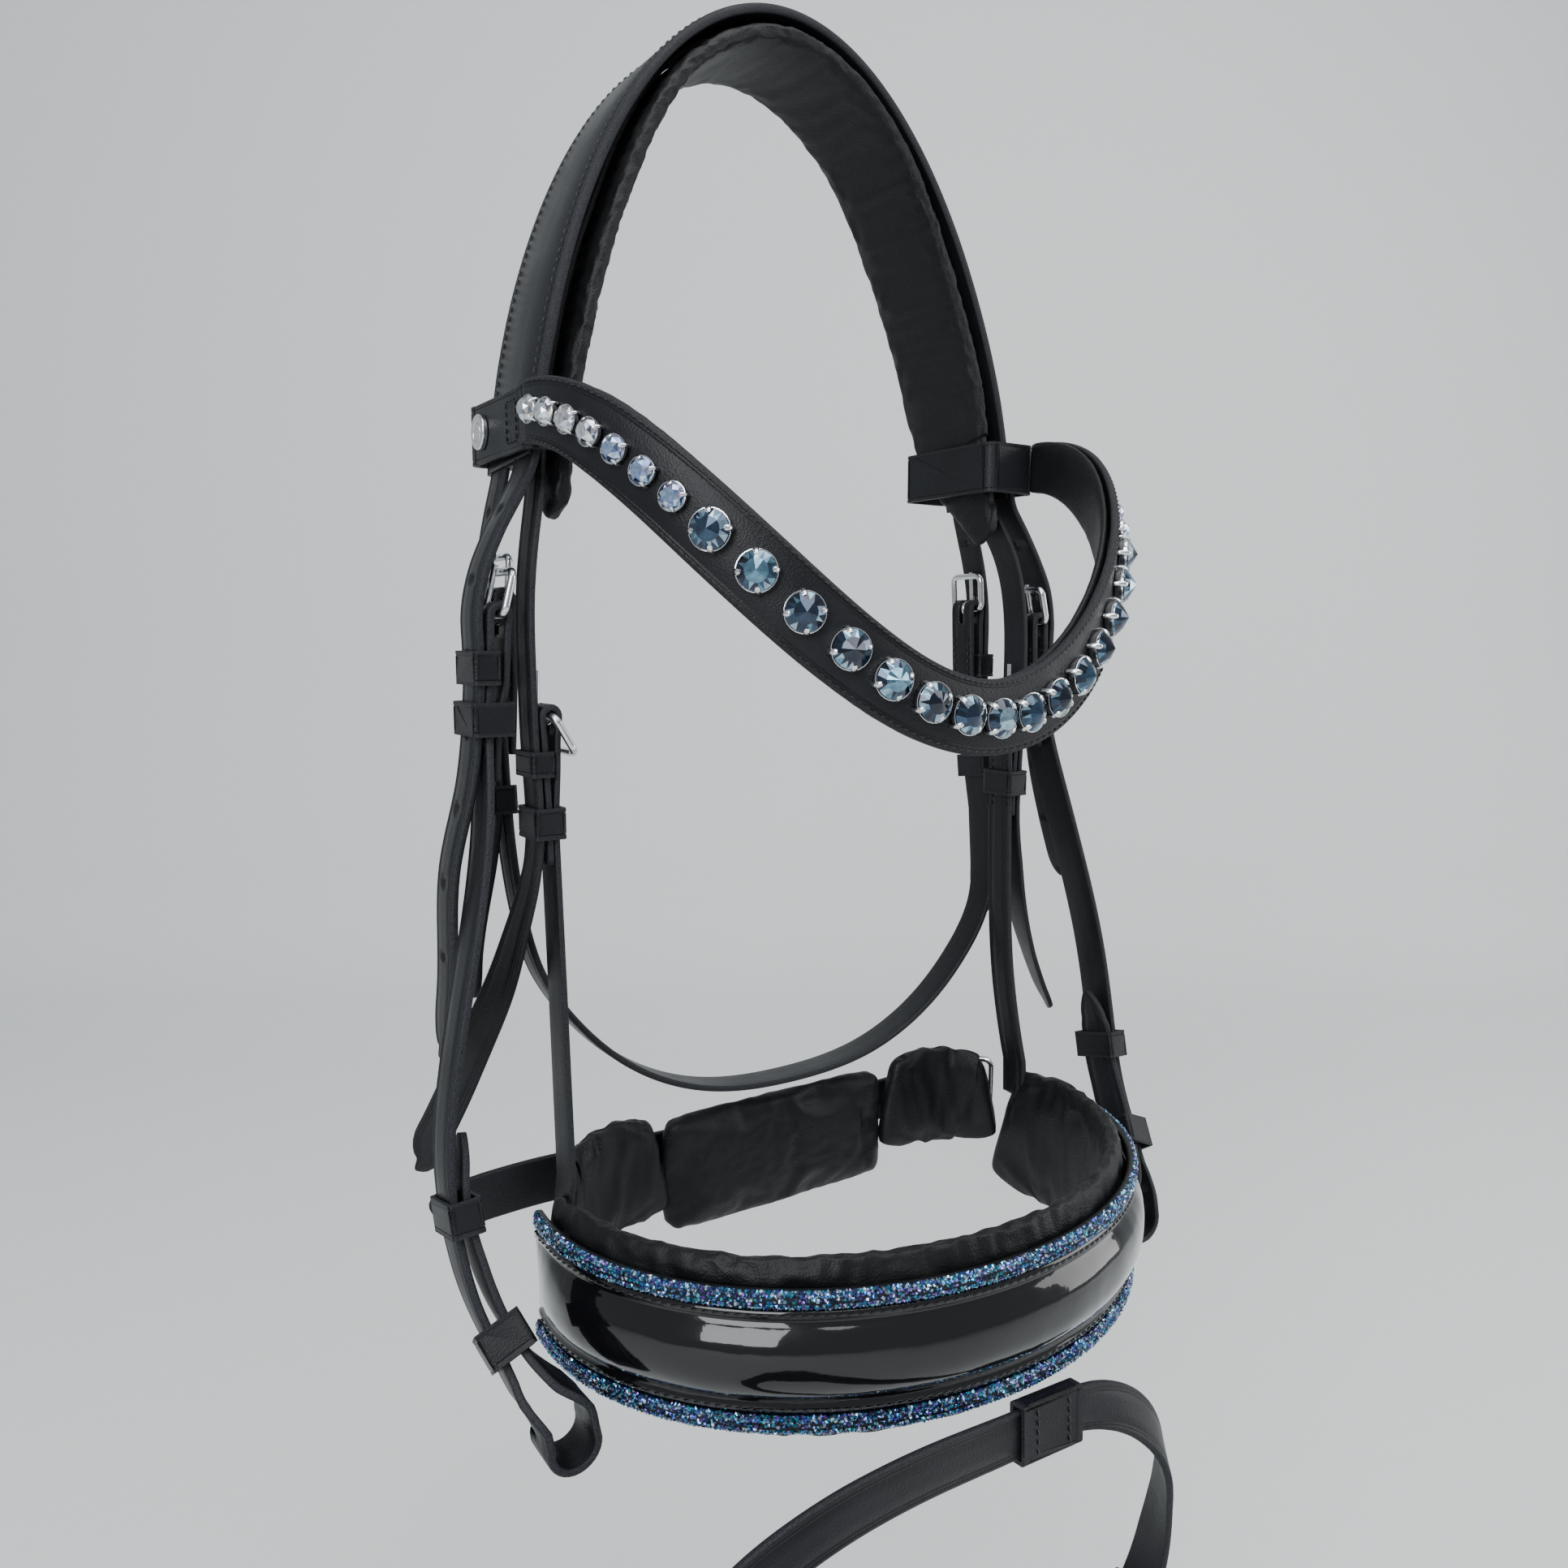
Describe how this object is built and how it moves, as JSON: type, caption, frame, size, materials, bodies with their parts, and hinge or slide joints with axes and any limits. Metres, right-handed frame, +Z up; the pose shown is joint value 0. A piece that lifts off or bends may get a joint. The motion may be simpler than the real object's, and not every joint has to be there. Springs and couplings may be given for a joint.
{
  "type": "snaffle bridle",
  "caption": "Padded dark leather snaffle bridle with a jewelled browband, a patent noseband, crystal trims and a flash strap.",
  "frame": {"origin": "underside of the poll padding, at the top of the arch and midway between the ears", "axes": "+X towards the side of the crank roller, -Y towards the nose, +Z up when the bridle hangs from its crown"},
  "size_m": [0.3064, 0.1948, 0.6192],
  "materials": {
    "bridle_leather": "satin, fine grained, with creased edges",
    "padding_leather": "soft matt nappa over foam",
    "patent_leather": "high gloss patent",
    "edge_leather": "satin, stitched",
    "nickel": "polished nickel plate",
    "setting_metal": "polished stamped setting",
    "clear_glass": "faceted clear stone",
    "light_blue_glass": "faceted light blue stone",
    "dark_blue_glass": "faceted dark blue stone",
    "crystal_rock": "fine crystal chips in blue, teal and silver"
  },
  "bodies": {
    "headpiece": {"crown_strap": "bridle_leather", "crown_padding": "padding_leather", "sliphead_strap": "bridle_leather", "left_noseband_side_strap": "bridle_leather", "left_noseband_keepers": "bridle_leather", "right_noseband_side_strap": "bridle_leather", "right_noseband_keepers": "bridle_leather"},
    "browband": {"browband_leather": "bridle_leather", "browband_lining": "padding_leather", "clear_stones": "clear_glass", "light_blue_stones": "light_blue_glass", "dark_blue_stones": "dark_blue_glass", "small_settings": "setting_metal", "large_settings": "setting_metal", "left_browband_loop": "bridle_leather", "right_browband_loop": "bridle_leather"},
    "throatlash": {"throatlash_strap": "bridle_leather", "left_throat_billet": "bridle_leather", "left_throat_keepers": "bridle_leather", "right_throat_billet": "bridle_leather", "right_throat_keepers": "bridle_leather"},
    "noseband": {"noseband_patent": "patent_leather", "upper_crystal_trim": "crystal_rock", "lower_crystal_trim": "crystal_rock", "noseband_lining": "padding_leather", "left_chin_side_pad": "padding_leather", "centre_chin_pad": "padding_leather", "right_chin_side_pad": "padding_leather", "crank_strap": "bridle_leather", "crank_roller": "nickel"},
    "flash": {"flash_loop": "bridle_leather", "flash_strap": "bridle_leather", "flash_keeper": "bridle_leather"},
    "flash_buckle": {"flash_buckle": "nickel"},
    "flash_tongue": {"flash_tongue": "nickel"},
    "left_loop_flap": {"left_loop_flap": "bridle_leather", "left_press_stud": "nickel"},
    "left_cheek": {"left_cheek_billet": "bridle_leather", "left_cheekpiece": "bridle_leather", "left_cheek_keepers": "bridle_leather", "left_bit_keepers": "bridle_leather", "left_hook_stud": "nickel"},
    "left_cheek_buckle": {"left_cheek_buckle": "nickel"},
    "left_cheek_tongue": {"left_cheek_tongue": "nickel"},
    "left_throat_buckle": {"left_throat_buckle": "nickel"},
    "left_noseband_buckle": {"left_noseband_buckle": "nickel"},
    "left_noseband_tongue": {"left_noseband_tongue": "nickel"},
    "right_loop_flap": {"right_loop_flap": "bridle_leather", "right_press_stud": "nickel"},
    "right_cheek": {"right_cheek_billet": "bridle_leather", "right_cheekpiece": "bridle_leather", "right_cheek_keepers": "bridle_leather", "right_bit_keepers": "bridle_leather", "right_hook_stud": "nickel"},
    "right_cheek_buckle": {"right_cheek_buckle": "nickel"},
    "right_cheek_tongue": {"right_cheek_tongue": "nickel"},
    "right_throat_buckle": {"right_throat_buckle": "nickel"},
    "right_noseband_buckle": {"right_noseband_buckle": "nickel"},
    "right_noseband_tongue": {"right_noseband_tongue": "nickel"}
  },
  "joints": [
    {"name": "browband_swing", "type": "hinge", "parent": "headpiece", "child": "browband", "pos_m": [0, -0.004, -0.145], "axis": [1, 0, 0], "range_deg": [-2, 2]},
    {"name": "throatlash_swing", "type": "hinge", "parent": "headpiece", "child": "throatlash", "pos_m": [0, 0.0135, -0.1585], "axis": [1, 0, 0], "range_deg": [0, 25]},
    {"name": "noseband_swing", "type": "hinge", "parent": "headpiece", "child": "noseband", "pos_m": [0, -0.0355, -0.4], "axis": [1, 0, 0], "range_deg": [-10, 5]},
    {"name": "flash_swing", "type": "hinge", "parent": "noseband", "child": "flash", "pos_m": [0, -0.1592, -0.4516], "axis": [1, 0, 0], "range_deg": [-20, 0]},
    {"name": "flash_buckle_turn", "type": "hinge", "parent": "flash", "child": "flash_buckle", "pos_m": [0.0343, -0.148, -0.583], "axis": [0.0168, 0.9995, 0.0248], "range_deg": [-8, 8]},
    {"name": "flash_tongue_turn", "type": "hinge", "parent": "flash_buckle", "child": "flash_tongue", "pos_m": [0.0343, -0.148, -0.583], "axis": [0.0168, 0.9995, 0.0248], "range_deg": [0, 20]},
    {"name": "left_loop_flap_open", "type": "hinge", "parent": "browband", "child": "left_loop_flap", "pos_m": [-0.1124, -0.0244, -0.145], "axis": [0, 0, 1], "range_deg": [0, 100]},
    {"name": "left_cheek_swing", "type": "hinge", "parent": "headpiece", "child": "left_cheek", "pos_m": [-0.107, -0.017, -0.1575], "axis": [0, 1, 0], "range_deg": [0, 35]},
    {"name": "left_cheek_buckle_turn", "type": "hinge", "parent": "left_cheek", "child": "left_cheek_buckle", "pos_m": [-0.1215, -0.021, -0.208], "axis": [0, 1, 0], "range_deg": [-3, 8]},
    {"name": "left_cheek_tongue_turn", "type": "hinge", "parent": "left_cheek_buckle", "child": "left_cheek_tongue", "pos_m": [-0.1215, -0.021, -0.208], "axis": [0, 1, 0], "range_deg": [-4, 1]},
    {"name": "left_throat_buckle_turn", "type": "hinge", "parent": "throatlash", "child": "left_throat_buckle", "pos_m": [-0.1095, 0.005, -0.202], "axis": [0, 1, 0], "range_deg": [0, 6]},
    {"name": "left_noseband_buckle_turn", "type": "hinge", "parent": "headpiece", "child": "left_noseband_buckle", "pos_m": [-0.1055, -0.024, -0.241], "axis": [0, 1, 0], "range_deg": [-2, 10]},
    {"name": "left_noseband_tongue_turn", "type": "hinge", "parent": "left_noseband_buckle", "child": "left_noseband_tongue", "pos_m": [-0.1055, -0.024, -0.241], "axis": [0, 1, 0], "range_deg": [-2, 10]},
    {"name": "right_loop_flap_open", "type": "hinge", "parent": "browband", "child": "right_loop_flap", "pos_m": [0.1124, -0.0244, -0.145], "axis": [0, 0, -1], "range_deg": [0, 100]},
    {"name": "right_cheek_swing", "type": "hinge", "parent": "headpiece", "child": "right_cheek", "pos_m": [0.107, -0.017, -0.1575], "axis": [0, -1, 0], "range_deg": [0, 35]},
    {"name": "right_cheek_buckle_turn", "type": "hinge", "parent": "right_cheek", "child": "right_cheek_buckle", "pos_m": [0.1215, -0.021, -0.208], "axis": [0, -1, 0], "range_deg": [-3, 8]},
    {"name": "right_cheek_tongue_turn", "type": "hinge", "parent": "right_cheek_buckle", "child": "right_cheek_tongue", "pos_m": [0.1215, -0.021, -0.208], "axis": [0, -1, 0], "range_deg": [-4, 1]},
    {"name": "right_throat_buckle_turn", "type": "hinge", "parent": "throatlash", "child": "right_throat_buckle", "pos_m": [0.1095, 0.005, -0.202], "axis": [0, -1, 0], "range_deg": [0, 6]},
    {"name": "right_noseband_buckle_turn", "type": "hinge", "parent": "headpiece", "child": "right_noseband_buckle", "pos_m": [0.1055, -0.024, -0.241], "axis": [0, -1, 0], "range_deg": [-2, 10]},
    {"name": "right_noseband_tongue_turn", "type": "hinge", "parent": "right_noseband_buckle", "child": "right_noseband_tongue", "pos_m": [0.1055, -0.024, -0.241], "axis": [0, -1, 0], "range_deg": [-2, 10]}
  ]
}
